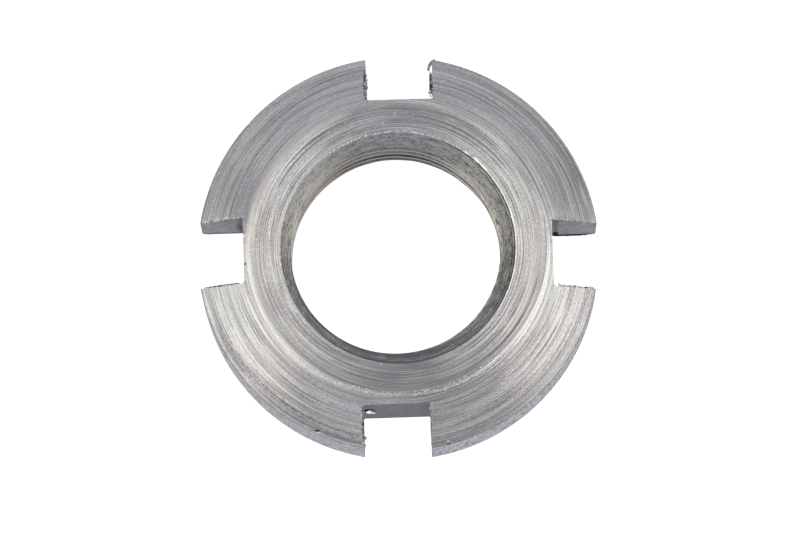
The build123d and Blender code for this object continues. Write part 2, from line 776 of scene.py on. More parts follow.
    def build(self) -> bpy.types.Object:
        """Build the closed mesh of the nut.

        Returns:
            The nut's object, without finishes.
        """
        path = self.profile.rim_path(self.edge_steps, self.wall_steps)
        drops = 1 - path[:, 1] / path[0, 1]
        contour = self.contour()
        skin = Skin()
        self.add_faces(skin, contour)
        for turn in range(self.sizes.slot_count):
            self.add_lug(skin, turn, drops)
            self.add_floor(skin, turn, drops)
        angle = self.ring_angles(contour)
        mouth = self.sizes.mouth_radius * np.column_stack([np.cos(angle), np.sin(angle)])
        skin.add(BoreThread(self.sizes).surface(mouth), Zone.BORE)
        mesh = skin.build("nut_body", self.weld)
        for dent in self.dents:
            dent.press(mesh)
        self.rings.raise_on(mesh)
        self.rough_edges(mesh)
        nut = bpy.data.objects.new("nut_body", mesh)
        bpy.context.scene.collection.objects.link(nut)
        return nut

    def rough_edges(self, mesh: bpy.types.Mesh) -> None:
        """Leave the top edges of the slots uneven, as the cutter tore them.

        Args:
            mesh: The nut's mesh, changed in place.
        """
        points = read_points(mesh)
        shift = np.zeros_like(points)
        radius = np.linalg.norm(points[:, :2], axis=1)
        below = self.profile.top_height(radius) - points[:, 2]
        near_top = np.exp(-np.square(below / self.tear_reach))
        for turn in range(self.sizes.slot_count):
            local = self.slots.to_local(turn, points[:, :2])
            apart = self.slots.depth_in_metal(turn, points[:, :2])
            near = np.exp(-np.square(apart / self.tear_reach)) * near_top * (local[:, 0] > 0)
            side = np.sign(local[:, 1] + self.sizes.slot_side_shift)
            torn = lattice_noise(points / self.tear_length, self.side_seed + turn)
            angle = self.slots.turn_angle(turn)
            across = np.array([-math.sin(angle), math.cos(angle), 0.0])
            shift += (near * torn * side * self.tear_size)[:, None] * across
            lifted = lattice_noise(points / self.tear_length, self.lift_seed + turn)
            shift[:, 2] += near * lifted * self.tear_size
        write_points(mesh, points + shift)


def add_mesh_object(name: str, parts: list[Form]) -> bpy.types.Object:
    """Join separate closed forms into one object.

    Args:
        name: Name of the object.
        parts: Points and faces of each form.

    Returns:
        The object.
    """
    points, faces, count = [], [], 0
    for form, corners in parts:
        points.append(form)
        faces.extend([index + count for index in face] for face in corners)
        count += len(form)
    mesh = bpy.data.meshes.new(name)
    mesh.from_pydata(np.vstack(points).tolist(), [], faces)
    work = bmesh.new()
    work.from_mesh(mesh)
    bmesh.ops.recalc_face_normals(work, faces=work.faces)
    work.to_mesh(mesh)
    work.free()
    thing = bpy.data.objects.new(name, mesh)
    bpy.context.scene.collection.objects.link(thing)
    return thing


@dataclass(frozen=True)
class Sliver:
    """A closed strip of torn metal along a line, with a number of sides."""

    sides: int

    def form(
        self,
        line: np.ndarray,
        across: np.ndarray,
        up: np.ndarray,
        wide: np.ndarray,
        high: np.ndarray,
    ) -> Form:
        """Wrap a ring of points round each point of the line and close the ends.

        Args:
            line: Array of (x, y, z) rows.
            across: Directions of the width, one to a row.
            up: Directions of the height, one to a row.
            wide: Half widths.
            high: Half heights.

        Returns:
            Points and faces.
        """
        turn = np.linspace(0, 2 * math.pi, self.sides, endpoint=False)
        width = (wide[:, None] * np.cos(turn))[:, :, None] * across[:, None]
        height = (high[:, None] * np.sin(turn))[:, :, None] * up[:, None]
        points = (line[:, None] + width + height).reshape(-1, 3)
        faces = []
        for row in range(len(line) - 1):
            for side in range(self.sides):
                after = (side + 1) % self.sides
                low, high_row = row * self.sides, (row + 1) * self.sides
                faces.append([low + side, low + after, high_row + after, high_row + side])
        faces.append(list(range(self.sides)))
        last = (len(line) - 1) * self.sides
        faces.append(list(range(last, last + self.sides)))
        return points, faces


STRIP = Sliver(6)
LUMP = Sliver(5)
ROD = Sliver(8)


def tapered(count: int, start: float, power: float) -> np.ndarray:
    """Widths along a strip that thins out at both ends.

    Args:
        count: Number of points along the strip.
        start: Angle whose sine is the width at the ends, before the power.
        power: How blunt the ends are, less for blunter ones.

    Returns:
        The widths, 1 in the middle.
    """
    return np.sin(np.linspace(start, math.pi - start, count)) ** power


@dataclass(frozen=True)
class TornLump:
    """A small broken lump of metal, widest in its middle."""

    steps: tuple[float, ...] = (-1.0, -0.45, 0.45, 1.0)
    reaches: tuple[float, ...] = (0.35, 1.0, 0.9, 0.3)
    length_swing: Span = (0.8, 1.4)
    size_swing: Span = (0.7, 1.3)

    def form(
        self,
        centre: np.ndarray,
        across: np.ndarray,
        up: np.ndarray,
        size: np.ndarray,
        draw: np.random.Generator,
    ) -> Form:
        """Make one lump.

        Args:
            centre: Its middle.
            across: Direction of its width.
            up: Direction of its height.
            size: Half its width and half its height, about.
            draw: Where its uneven shape comes from.

        Returns:
            Points and faces.
        """
        count = len(self.steps)
        along = np.cross(across, up)
        length = size[0] * draw.uniform(*self.length_swing)
        line = centre + along * (np.array(self.steps) * length)[:, None]
        reach = np.array(self.reaches)
        wide = size[0] * reach * draw.uniform(*self.size_swing, count)
        high = size[1] * reach * draw.uniform(*self.size_swing, count)
        ways = np.repeat(across[None], count, axis=0), np.repeat(up[None], count, axis=0)
        return LUMP.form(line, *ways, wide, high)


TORN_LUMP = TornLump()


class Level(Enum):
    """Which end of a slot wall an edge is at."""

    TOP = 1
    BACK = 0


@dataclass(frozen=True)
class EdgeBurr:
    """A run of burr along one edge of a slot, in millimetres."""

    turn: int
    side: Side
    start: float
    end: float
    width: float
    height: float
    hang: float = 0.0
    level: Level = Level.TOP
    step: float = 0.035
    rag: float = 1.0


@dataclass
class SlotBurrs:
    """The torn metal that the cutter left along the edges of the slots."""

    sizes: NutSizes
    seed: int = 5
    back_lift: float = 1.3
    taper: Pair = (0.15, 0.4)
    width_swing: Span = (-0.45, 0.25)
    height_swing: Span = (-0.5, 0.3)
    side_swing: Span = (-0.3, 0.4)
    lift_swing: Span = (-0.4, 0.2)
    lump_swing: Span = (0.5, 1.3)
    lump_scatter: Span = (-0.8, 0.8)
    spur_points: tuple[Point, ...] = (
        (1.95, 8.76, 2.66),
        (1.66, 8.72, 2.76),
        (1.61, 8.30, 2.76),
    )
    spur_start: Pair = (0.095, 0.07)
    spur_end: Pair = (0.055, 0.04)
    spur_rows: int = 25
    folds: tuple[EdgeBurr, ...] = (
        EdgeBurr(1, Side.LEFT, 6.95, 8.5, 0.085, 0.05, -0.04, rag=0.7),
        EdgeBurr(1, Side.RIGHT, 7.08, 8.28, 0.085, 0.06, 0.08, rag=0.3),
        EdgeBurr(2, Side.LEFT, 7.1, 8.75, 0.04, 0.04, 0.01),
        EdgeBurr(0, Side.RIGHT, 7.1, 8.7, 0.035, 0.045, 0.02),
        EdgeBurr(0, Side.LEFT, 7.0, 8.6, 0.035, 0.045, 0.02, Level.BACK, rag=0.7),
        EdgeBurr(3, Side.RIGHT, 6.98, 8.6, 0.045, 0.05, -0.03),
        EdgeBurr(3, Side.LEFT, 7.0, 8.7, 0.02, 0.02, 0.0),
    )
    beads: tuple[EdgeBurr, ...] = (
        EdgeBurr(2, Side.RIGHT, 7.0, 8.75, 0.042, 0.042, step=0.085),
        EdgeBurr(0, Side.LEFT, 7.0, 8.75, 0.038, 0.042, step=0.085),
        EdgeBurr(0, Side.RIGHT, 7.1, 8.75, 0.05, 0.05, 0.03, step=0.10),
        EdgeBurr(2, Side.LEFT, 7.2, 8.82, 0.03, 0.03, 0.015, step=0.14),
        EdgeBurr(3, Side.RIGHT, 6.98, 8.65, 0.036, 0.034, -0.04, step=0.10),
        EdgeBurr(3, Side.LEFT, 6.95, 7.3, 0.04, 0.04, step=0.10),
        EdgeBurr(3, Side.LEFT, 7.3, 8.7, 0.018, 0.018, step=0.12),
        EdgeBurr(1, Side.LEFT, 7.2, 8.3, 0.03, 0.03, 0.05, step=0.16),
        EdgeBurr(1, Side.RIGHT, 7.05, 7.35, 0.05, 0.04, 0.10, step=0.06),
        EdgeBurr(1, Side.RIGHT, 8.2, 8.36, 0.05, 0.04, 0.08, step=0.05),
    )
    dull_beads: tuple[EdgeBurr, ...] = (
        EdgeBurr(3, Side.RIGHT, 6.98, 8.66, 0.050, 0.05, -0.04, step=0.07),
        EdgeBurr(3, Side.RIGHT, 8.15, 8.68, 0.060, 0.05, 0.01, step=0.12),
        EdgeBurr(1, Side.LEFT, 7.0, 8.3, 0.06, 0.05, -0.02, step=0.09),
        EdgeBurr(1, Side.RIGHT, 7.02, 7.4, 0.07, 0.06, 0.08, step=0.06),
    )

    def line(self, run: EdgeBurr, outward: np.ndarray) -> tuple[np.ndarray, np.ndarray, np.ndarray]:
        """Points along an edge.

        Args:
            run: The burr that needs them.
            outward: Distances from the slots' centre, in metres.

        Returns:
            The points, the directions into the slot, and the upward directions.
        """
        slots, profile = SlotPlan(self.sizes), TurnedProfile(self.sizes)
        offset = np.full_like(outward, slots.wall_offset(run.side))
        plan = slots.place(run.turn, np.column_stack([outward, offset]))
        height = profile.top_height(np.linalg.norm(plan, axis=1)) * run.level.value
        if run.level is Level.BACK:
            height = height + self.back_lift * run.height * MM
        angle = slots.turn_angle(run.turn)
        into = -run.side.value * np.array([-math.sin(angle), math.cos(angle), 0.0])
        across = np.repeat(into[None], len(outward), axis=0)
        up = np.repeat(np.array([[0.0, 0.0, 1.0]]), len(outward), axis=0)
        points = np.column_stack([plan, height]) + across * run.hang * MM
        return points, across, up

    def fold(self, run: EdgeBurr, draw: np.random.Generator) -> Form:
        """Make a ragged strip that leans over the edge.

        Args:
            run: The burr.
            draw: Where its uneven shape comes from.

        Returns:
            Points and faces.
        """
        outward = np.arange(run.start, run.end, run.step) * MM
        line, across, up = self.line(run, outward)
        count = len(outward)
        taper = tapered(count, *self.taper)
        width, height = run.width * MM, run.height * MM
        wide = width * taper * (1 + run.rag * draw.uniform(*self.width_swing, count))
        high = height * taper * (1 + run.rag * draw.uniform(*self.height_swing, count))
        aside = run.rag * draw.uniform(*self.side_swing, count) * width
        lift = run.rag * draw.uniform(*self.lift_swing, count) * height
        line = line + across * aside[:, None] + up * lift[:, None]
        return STRIP.form(line, across, up, wide, high)

    def row(self, run: EdgeBurr, draw: np.random.Generator) -> list[Form]:
        """Make separate lumps along an edge, none the same.

        Args:
            run: The burr.
            draw: Where the lumps' places and uneven shapes come from.

        Returns:
            Points and faces of each lump.
        """
        count = int((run.end - run.start) / run.step)
        outward = draw.uniform(run.start, run.end, count) * MM
        lumps = []
        for point, way, rise in zip(*self.line(run, outward)):
            size = np.array([run.width, run.height]) * MM * draw.uniform(*self.lump_swing)
            point = point + way * draw.uniform(*self.lump_scatter) * run.width * MM
            lumps.append(TORN_LUMP.form(point, way, rise, size, draw))
        return lumps

    def rows(self, runs: tuple[EdgeBurr, ...], draw: np.random.Generator) -> list[Form]:
        """Make the lumps of some runs, one run after the other."""
        return [lump for run in runs for lump in self.row(run, draw)]

    def build(self) -> list[bpy.types.Object]:
        """Build the dark folds, the bright lumps and the hooked spur.

        Returns:
            Their objects.
        """
        draw = np.random.default_rng(self.seed)
        folds = add_mesh_object("slot_folds", [self.fold(run, draw) for run in self.folds])
        beads = add_mesh_object("slot_beads", self.rows(self.beads, draw))
        dull_beads = add_mesh_object("slot_beads_dull", self.rows(self.dull_beads, draw))
        folds.data.materials.append(TornSteel().material())
        beads.data.materials.append(BrightBurr().material())
        dull_beads.data.materials.append(DULL_BEAD_STEEL.material())
        return [folds, beads, dull_beads, self.spur()]

    def spur_curve(self, share: np.ndarray) -> np.ndarray:
        """Trace the spur's middle line, a Bezier curve.

        Args:
            share: Shares of its length, from 0 to 1.

        Returns:
            Array of (x, y, z) rows.
        """
        first, second, third = (np.array(point) * MM for point in self.spur_points)
        t = share[:, None]
        return (1 - t) ** 2 * first + 2 * t * (1 - t) * second + t**2 * third

    def spur(self) -> bpy.types.Object:
        """Build the hook that hangs from one corner of the slot at the back.

        Returns:
            Its object.
        """
        share = np.linspace(0, 1, self.spur_rows)
        line = self.spur_curve(share)
        along = np.gradient(line, axis=0)
        along /= np.linalg.norm(along, axis=1)[:, None]
        up = np.repeat(np.array([[0.0, 0.0, 1.0]]), len(line), axis=0)
        across = np.cross(along, up)
        across /= np.linalg.norm(across, axis=1)[:, None]
        first, last = np.array(self.spur_start) * MM, np.array(self.spur_end) * MM
        wide, high = first[:, None] + (last - first)[:, None] * share
        spur = add_mesh_object("corner_spur", [ROD.form(line, across, up, wide, high)])
        spur.data.materials.append(SPUR_STEEL.material())
        spur.data.shade_smooth()
        return spur


@dataclass(frozen=True)
class MouthArc:
    """A stretch of the burr round the mouth, in degrees and millimetres."""

    start: float
    end: float
    half_width: float
    half_height: float
    rag: float = 1.0


@dataclass
class MouthBurr:
    """The torn line round the mouth of the bore: ribbons that lean towards the axis."""

    sizes: NutSizes
    seed: int = 8
    step: float = 0.05 * MM
    lean: float = math.radians(20)
    taper: Pair = (0.1, 0.3)
    size_swing: Span = (-0.4, 0.3)
    shift: float = 0.7
    shift_swing: Span = (-0.6, 0.3)
    bright_arcs: tuple[MouthArc, ...] = (
        MouthArc(-35.0, 9.0, 0.020, 0.010, 0.6),
        MouthArc(8.5, 18.0, 0.050, 0.012, 0.7),
        MouthArc(17.0, 40.0, 0.026, 0.012, 0.9),
        MouthArc(39.5, 44.0, 0.058, 0.012, 0.3),
        MouthArc(43.7, 49.0, 0.075, 0.012, 0.5),
        MouthArc(51.0, 55.0, 0.050, 0.012, 0.6),
    )
    dull_arcs: tuple[MouthArc, ...] = (
        MouthArc(54.0, 128.0, 0.060, 0.018),
        MouthArc(126.0, 203.0, 0.034, 0.018),
        MouthArc(200.0, 262.0, 0.013, 0.012),
    )

    def ribbon(self, arc: MouthArc, draw: np.random.Generator) -> Form:
        """Make a ribbon along one arc, flat enough to catch the light as one line.

        Args:
            arc: The stretch of burr.
            draw: Where its uneven shape comes from.

        Returns:
            Points and faces.
        """
        step = self.step / self.sizes.mouth_radius
        turn = np.arange(math.radians(arc.start), math.radians(arc.end), step)
        count = len(turn)
        out = np.column_stack([np.cos(turn), np.sin(turn), np.zeros(count)])
        up = np.repeat(np.array([[0.0, 0.0, 1.0]]), count, axis=0)
        taper = tapered(count, *self.taper)
        width, height = arc.half_width * MM, arc.half_height * MM
        wide = width * taper * (1 + arc.rag * draw.uniform(*self.size_swing, count))
        high = height * taper * (1 + arc.rag * draw.uniform(*self.size_swing, count))
        shift = width * (self.shift + arc.rag * draw.uniform(*self.shift_swing, count))
        line = out * (self.sizes.mouth_radius + shift)[:, None] + up * self.sizes.thickness
        cos, sin = math.cos(self.lean), math.sin(self.lean)
        return STRIP.form(line, out * cos + up * sin, up * cos - out * sin, wide, high)

    def build(self) -> list[bpy.types.Object]:
        """Build the burr, bright at one side and dull at the other.

        Returns:
            Its objects.
        """
        draw = np.random.default_rng(self.seed)
        bright_ribbons = [self.ribbon(arc, draw) for arc in self.bright_arcs]
        dull_ribbons = [self.ribbon(arc, draw) for arc in self.dull_arcs]
        bright = add_mesh_object("mouth_burr", bright_ribbons)
        dull = add_mesh_object("mouth_burr_dull", dull_ribbons)
        bright.data.materials.append(MOUTH_BURR_STEEL.material())
        dull.data.materials.append(DULL_BURR_STEEL.material())
        return [bright, dull]


@dataclass(frozen=True)
class FleckArc:
    """A stretch of the seat's edge with bright flecks, in degrees and millimetres."""

    start: float
    end: float
    inner: float
    outer: float
    count: int
    size: float


@dataclass
class SeatFlecks:
    """Bright flecks of metal smeared along the worn edge of the seat face."""

    sizes: NutSizes
    seed: int = 21
    flatness: float = 0.5
    size_swing: Span = (0.5, 1.4)
    arcs: tuple[FleckArc, ...] = (
        FleckArc(208, 232, 6.62, 6.86, 60, 0.026),
        FleckArc(228, 250, 6.62, 6.76, 90, 0.026),
        FleckArc(248, 266, 6.54, 6.72, 55, 0.026),
        FleckArc(264, 282, 6.54, 6.72, 36, 0.028),
        FleckArc(284, 318, 6.54, 6.80, 70, 0.024),
        FleckArc(282.5, 283.0, 8.80, 8.88, 3, 0.045),
    )

    def build(self) -> bpy.types.Object:
        """Build the flecks as small broken lumps, half sunk in the surface.

        Returns:
            Their object.
        """
        draw = np.random.default_rng(self.seed)
        profile = TurnedProfile(self.sizes)
        up = np.array([0.0, 0.0, 1.0])
        lumps = []
        for arc in self.arcs:
            angles = np.radians(draw.uniform(arc.start, arc.end, arc.count))
            radii = draw.uniform(arc.inner, arc.outer, arc.count) * MM
            places = in_plan(radii, angles, profile.top_height(radii))
            for place, angle in zip(places, angles):
                out = np.array([math.cos(angle), math.sin(angle), 0.0])
                size = arc.size * MM * draw.uniform(*self.size_swing)
                both = size * np.array([1.0, self.flatness])
                lumps.append(TORN_LUMP.form(place, out, up, both, draw))
        flecks = add_mesh_object("seat_flecks", lumps)
        flecks.data.materials.append(FLECK_STEEL.material())
        return flecks


@dataclass(frozen=True)
class Noise:
    """Even noise: cells to a metre, finer octaves, and the strength of each beside the last."""

    scale: float
    detail: float = 0.0
    rough: float = 0.5


class NodeGraph:
    """A material's nodes, added one at a time and wired to the ones before."""

    def __init__(self, name: str) -> None:
        """Start a material with no nodes but its output.

        Args:
            name: Name of the material.
        """
        self.material = bpy.data.materials.new(name)
        self.material.use_nodes = True
        self.tree = self.material.node_tree
        self.tree.nodes.clear()
        self.output = self.tree.nodes.new("ShaderNodeOutputMaterial")

    def put(self, socket: Socket, value: object) -> None:
        """Wire a socket to another one, or set its own value.

        Args:
            socket: The input to wire or set.
            value: Another socket, or the value.
        """
        if isinstance(value, Socket):
            self.tree.links.new(value, socket)
        else:
            socket.default_value = value

    def put_colour(self, socket: Socket, colour: object) -> None:
        """Wire a socket to a colour's socket, or set it from three numbers."""
        self.put(socket, (*colour, 1.0) if isinstance(colour, tuple) else colour)

    def compute(self, operation: str, *values: object) -> Socket:
        """Add a Math node.

        Args:
            operation: Blender's name of the operation.
            values: Sockets or numbers, in the node's order.

        Returns:
            The result's socket.
        """
        node = self.tree.nodes.new("ShaderNodeMath")
        node.operation = operation
        for socket, value in zip(node.inputs, values):
            self.put(socket, value)
        return node.outputs[0]

    def product(self, *values: object) -> Socket:
        """Multiply sockets or numbers.

        Args:
            values: The factors.

        Returns:
            The product's socket.
        """
        total = values[0]
        for value in values[1:]:
            total = self.compute("MULTIPLY", total, value)
        return total

    def mixture(self, *shares: tuple[object, float]) -> Socket:
        """Add sockets or numbers up, each times its own share.

        Args:
            shares: Pairs of a socket or number and its share.

        Returns:
            The sum's socket.
        """
        total = 0.0
        for value, share in shares:
            total = self.compute("MULTIPLY_ADD", value, share, total)
        return total

    def remap(
        self, value: object, low: float, high: float, start: float = 0.0, end: float = 1.0
    ) -> Socket:
        """Add a clamped Map Range node.

        Args:
            value: Socket to remap.
            low: Value that gives start.
            high: Value that gives end.
            start: Result at low.
            end: Result at high.

        Returns:
            The result's socket.
        """
        node = self.tree.nodes.new("ShaderNodeMapRange")
        for socket, number in zip(node.inputs, (value, low, high, start, end)):
            self.put(socket, number)
        return node.outputs[0]

    def vector(self, x: object, y: object, z: object) -> Socket:
        """Add a Combine XYZ node.

        Args:
            x: Socket or number.
            y: Socket or number.
            z: Socket or number.

        Returns:
            The vector's socket.
        """
        node = self.tree.nodes.new("ShaderNodeCombineXYZ")
        for socket, value in zip(node.inputs, (x, y, z)):
            self.put(socket, value)
        return node.outputs[0]

    def noise(self, vector: Socket, kind: Noise) -> Socket:
        """Add a Noise Texture node.

        Args:
            vector: Where to read the noise.
            kind: How fine and how rough it is.

        Returns:
            The socket of its values from 0 to 1.
        """
        node = self.tree.nodes.new("ShaderNodeTexNoise")
        self.put(node.inputs["Vector"], vector)
        node.inputs["Scale"].default_value = kind.scale
        node.inputs["Detail"].default_value = kind.detail
        node.inputs["Roughness"].default_value = kind.rough
        return node.outputs[0]

    def blend(self, share: object, first: object, second: object) -> Socket:
        """Mix two colours.

        Args:
            share: Socket or number, 0 for the first colour and 1 for the second.
            first: Colour of three numbers, or a socket.
            second: Colour of three numbers, or a socket.

        Returns:
            The colour's socket.
        """
        node = self.tree.nodes.new("ShaderNodeMix")
        node.data_type = "RGBA"
        self.put(node.inputs[0], share)
        for number, colour in zip(MIX_COLOUR_INPUTS, (first, second)):
            self.put_colour(node.inputs[number], colour)
        return node.outputs[MIX_COLOUR_OUTPUT]

    def position(self) -> tuple[Socket, bpy.types.Node]:
        """Read the point on the surface, in the nut's own frame.

        Returns:
            The point's socket, and a node that splits it into x, y and z.
        """
        place = self.tree.nodes.new("ShaderNodeTexCoord").outputs["Object"]
        split = self.tree.nodes.new("ShaderNodeSeparateXYZ")
        self.put(split.inputs[0], place)
        return place, split

    def apart(self, place: Socket, centre: Vector, reach: Vector) -> Socket:
        """Distance from a point, counted in reaches.

        Args:
            place: Socket of the place to measure from.
            centre: The point, in metres.
            reach: Length along each axis that counts as 1, in metres.

        Returns:
            The distance's socket.
        """
        length = self.tree.nodes.new("ShaderNodeVectorMath")
        length.operation = "LENGTH"
        self.put(length.inputs[0], self.chain(place, ("SUBTRACT", centre), ("DIVIDE", reach)))
        return length.outputs["Value"]

    def chain(self, value: Socket, *steps: tuple[str, Vector]) -> Socket:
        """Run a vector through Vector Math nodes.

        Args:
            value: Socket of the vector.
            steps: Blender's name of each operation, with its second vector.

        Returns:
            The last node's vector.
        """
        for operation, amount in steps:
            node = self.tree.nodes.new("ShaderNodeVectorMath")
            node.operation = operation
            self.put(node.inputs[0], value)
            node.inputs[1].default_value = amount
            value = node.outputs["Vector"]
        return value

    def tint_slants(self, shader: bpy.types.Node, colour: Socket, gain: float) -> None:
        """Let what a metal mirrors at a slant follow its colour.

        Args:
            shader: The metal's shader.
            colour: Socket of its colour.
            gain: How much lighter than the colour the tint is, up to white.
        """
        white = Vector((1.0, 1.0, 1.0))
        tint = self.chain(colour, ("MULTIPLY", white * gain), ("MINIMUM", white))
        self.put(shader.inputs["Specular Tint"], tint)

    def bump(self, height: Socket, depth: float) -> Socket:
        """Add a Bump node.

        Args:
            height: Socket of heights from 0 to 1.
            depth: Depth in metres that a height of 1 stands for.

        Returns:
            The normal's socket.
        """
        node = self.tree.nodes.new("ShaderNodeBump")
        node.inputs["Strength"].default_value = 1.0
        node.inputs["Distance"].default_value = depth
        self.put(node.inputs["Height"], height)
        return node.outputs[0]

    def metal(self, colour: object, rough: object, normal: Socket) -> bpy.types.Node:
        """Add the metal shader and wire it to the output.

        Args:
            colour: Colour or socket.
            rough: Roughness or socket.
            normal: The bumped normal.

        Returns:
            The shader node, for settings of its own.
        """
        shader = self.tree.nodes.new("ShaderNodeBsdfPrincipled")
        shader.inputs["Metallic"].default_value = 1.0
        self.put_colour(shader.inputs["Base Color"], colour)
        self.put(shader.inputs["Roughness"], rough)
        self.put(shader.inputs["Normal"], normal)
        self.tree.links.new(shader.outputs[0], self.output.inputs[0])
        return shader


@dataclass(frozen=True)
class Streaks:
    """Noise stretched round the nut: cells to a radian, cells to a millimetre, finer octaves."""

    reach: float
    count: float
    detail: float = 0.0


class RingSpace:
    """Sockets that measure round the nut and across its turned faces."""

    def __init__(self, graph: NodeGraph, lean: float = 1.0) -> None:
        """Add the nodes that turn a place into a direction and a distance along the profile.

        Args:
            graph: The material's nodes.
            lean: Weight of the radius beside the height in that distance.
        """
        self.graph = graph
        self.place, split = graph.position()
        self.x, self.y, self.z = split.outputs
        self.radius = self.radius_about(0.0)
        self.east = graph.compute("DIVIDE", self.x, self.radius)
        self.north = graph.compute("DIVIDE", self.y, self.radius)
        self.along = graph.mixture((self.radius, lean), (self.z, -1.0))

    def radius_about(self, centre_x: float) -> Socket:
        """Measure the distance from an upright axis.

        Args:
            centre_x: Where the axis stands on the nut's x axis.

        Returns:
            The distance's socket.
        """
        graph = self.graph
        x = graph.compute("SUBTRACT", self.x, centre_x)
        squares = graph.compute("ADD", graph.product(x, x), graph.product(self.y, self.y))
        return graph.compute("SQRT", squares)

    def streaks(self, kind: Streaks) -> Socket:
        """Noise that is stretched round the nut or across it.

        Args:
            kind: How far it is stretched each way.

        Returns:
            The socket of its values from 0 to 1.
        """
        graph = self.graph
        vector = graph.vector(
            graph.product(self.east, kind.reach),
            graph.product(self.north, kind.reach),
            graph.product(self.along, kind.count / MM),
        )
        return graph.noise(vector, Noise(1.0, kind.detail))

    def stretch(self, value: Socket, low: float, high: float, soft: float) -> Socket:
        """Mask of the places where a length lies between two others.

        Args:
            value: Socket of the length.
            low: Where the stretch starts, in millimetres.
            high: Where it ends.
            soft: Half the width of its soft ends.

        Returns:
            The socket, 1 inside the stretch and 0 outside.
        """
        graph = self.graph
        rise = graph.remap(value, (low - soft) * MM, (low + soft) * MM)
        fall = graph.remap(value, (high - soft) * MM, (high + soft) * MM, 1.0, 0.0)
        return graph.compute("MULTIPLY", rise, fall)

    def band(self, low: float, high: float, soft: float) -> Socket:
        """Mask of a stretch across the profile."""
        return self.stretch(self.along, low, high, soft)

    def toward(self, azimuth: float, inner: float, outer: float) -> Socket:
        """Mask of a sector about a direction.

        Args:
            azimuth: The direction, in degrees anticlockwise from the +X side.
            inner: Degrees to either side within which the mask is 1.
            outer: Degrees to either side beyond which it is 0.

        Returns:
            The mask's socket.
        """
        turn = math.radians(azimuth)
        way = self.graph.mixture((self.east, math.cos(turn)), (self.north, math.sin(turn)))
        return self.graph.remap(way, math.cos(math.radians(outer)), math.cos(math.radians(inner)))

    def along_grooves(self, shader: bpy.types.Node, anisotropy: float) -> None:
        """Make a shader rougher across the grooves than along them.

        Args:
            shader: The metal's shader.
            anisotropy: How much rougher, from 0 to 1.
        """
        shader.inputs["Anisotropic"].default_value = anisotropy
        shader.inputs["Anisotropic Rotation"].default_value = QUARTER_TURN
        tangent = self.graph.tree.nodes.new("ShaderNodeTangent")
        tangent.direction_type = "RADIAL"
        tangent.axis = "Z"
        self.graph.put(shader.inputs["Tangent"], tangent.outputs[0])


@dataclass(frozen=True)
class Spot:
    """A spot of rust, a dark mark, painted shade or painted light: its place and its reach along
    each axis, in millimetres.
    """

    place: Point
    reach: Point
    colour: Colour
    strength: float = 1.0
    ragged: float = 1.2
    soft: float = 1.0
    blotches: Noise = Noise(8.0 / MM, 2.0)

    def lay(self, graph: NodeGraph, place: Socket, colour: Socket) -> Socket:
        """Blend the spot into a colour.

        Args:
            graph: The material's nodes.
            place: Socket of the point on the surface.
            colour: Socket of the colour under the spot.

        Returns:
            The socket of the new colour.
        """
        apart = graph.apart(place, Vector(self.place) * MM, Vector(self.reach) * MM)
        ragged = graph.noise(place, self.blotches)
        distance = graph.mixture((apart, 1.0), (ragged, self.ragged))
        edge = 1 + self.ragged / 2
        mask = graph.remap(distance, edge - self.soft / 2, edge + self.soft / 2, self.strength, 0.0)
        return graph.blend(mask, colour, self.colour)


@dataclass(frozen=True)
class Shade:
    """A sector of a ring that differs from the rest, in degrees and millimetres."""

    azimuth: float
    inner: float
    outer: float
    low: float
    high: float
    soft: float
    amount: float

    def mask(self, rings: RingSpace) -> Socket:
        """Where the shade lies, as a socket from 0 to 1."""
        sector = rings.toward(self.azimuth, self.inner, self.outer)
        return rings.graph.product(sector, rings.band(self.low, self.high, self.soft))


def weighed(
    rings: RingSpace, shades: tuple[Shade, ...], sign: int = 1
) -> list[tuple[Socket, float]]:
    """Pair the masks of some shades with their amounts, for a mixture."""
    return [(shade.mask(rings), sign * shade.amount) for shade in shades]


